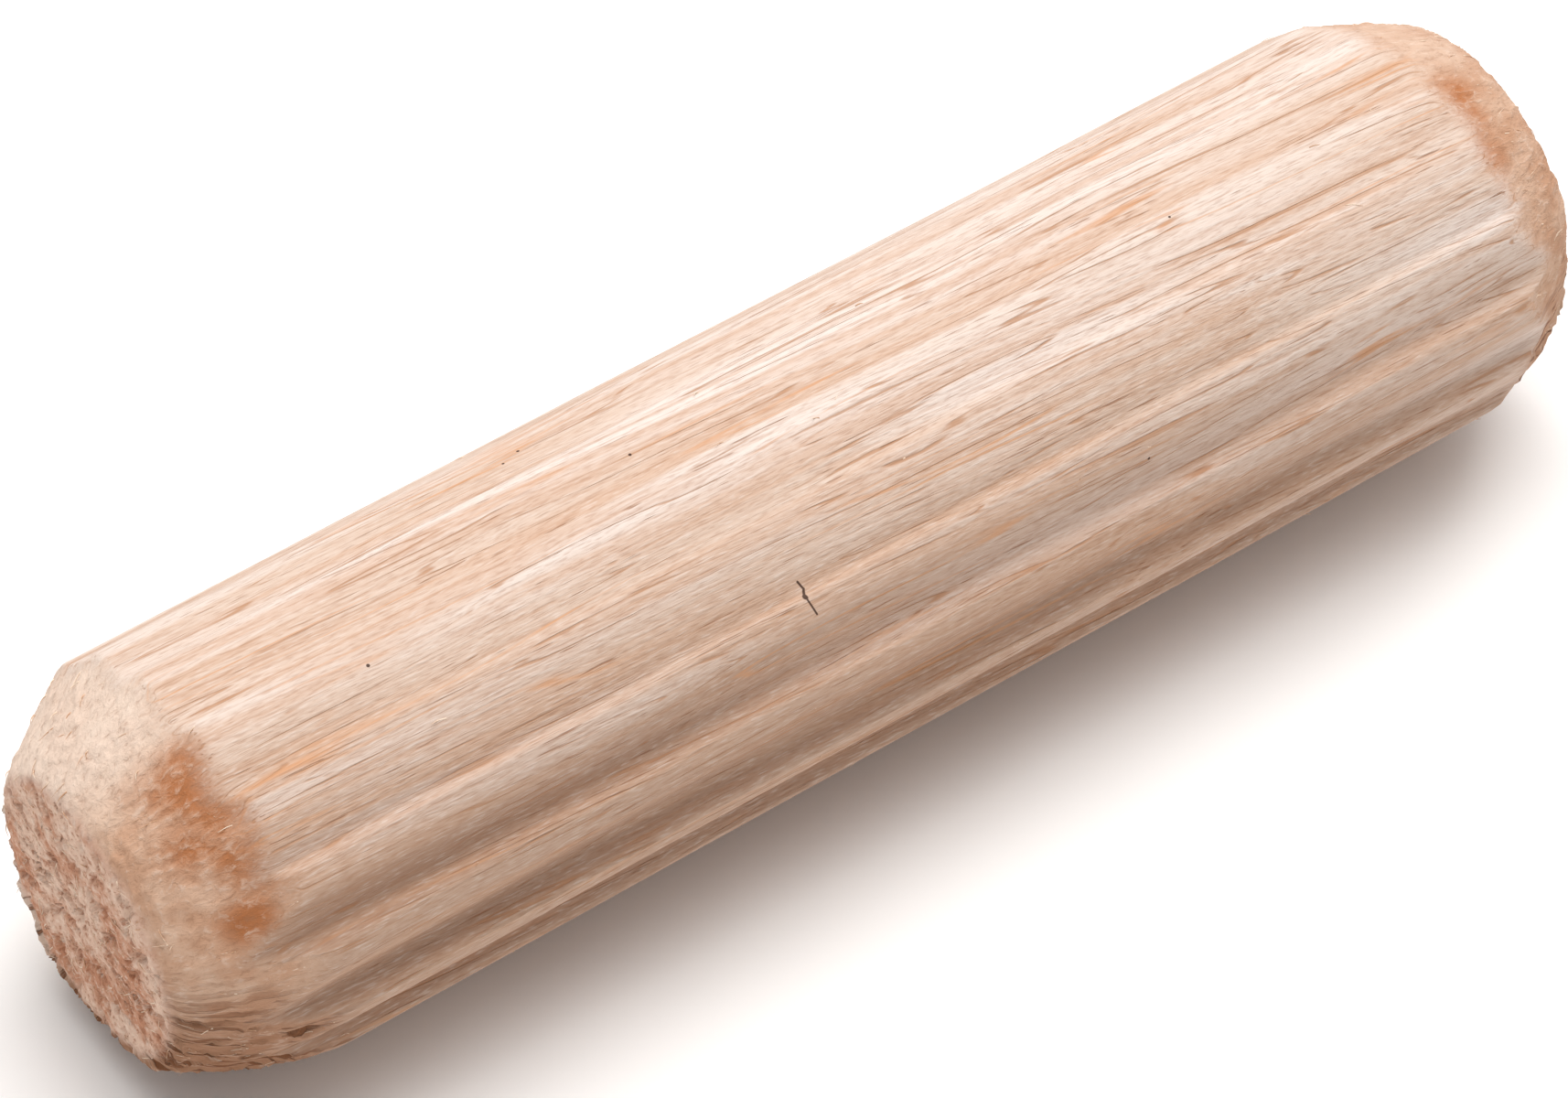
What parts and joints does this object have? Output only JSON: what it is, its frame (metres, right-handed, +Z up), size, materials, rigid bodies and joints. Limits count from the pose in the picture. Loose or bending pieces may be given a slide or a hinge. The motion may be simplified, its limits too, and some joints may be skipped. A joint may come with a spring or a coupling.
{
  "type": "wooden dowel pin",
  "caption": "Round wooden dowel pin with straight glue flutes along its full length and a bevelled lead-in at each end, for glued joints in wood.",
  "frame": {"origin": "on the pin's axis, midway along its length", "axes": "+X along the pin's axis, +Z up with the pin lying on two neighbouring lands"},
  "size_m": [0.03, 0.008, 0.008],
  "materials": {
    "beech": "dry unfinished beech, fine long grain, fluted"
  },
  "bodies": {
    "root": {"dowel_pin": "beech"}
  },
  "joints": []
}
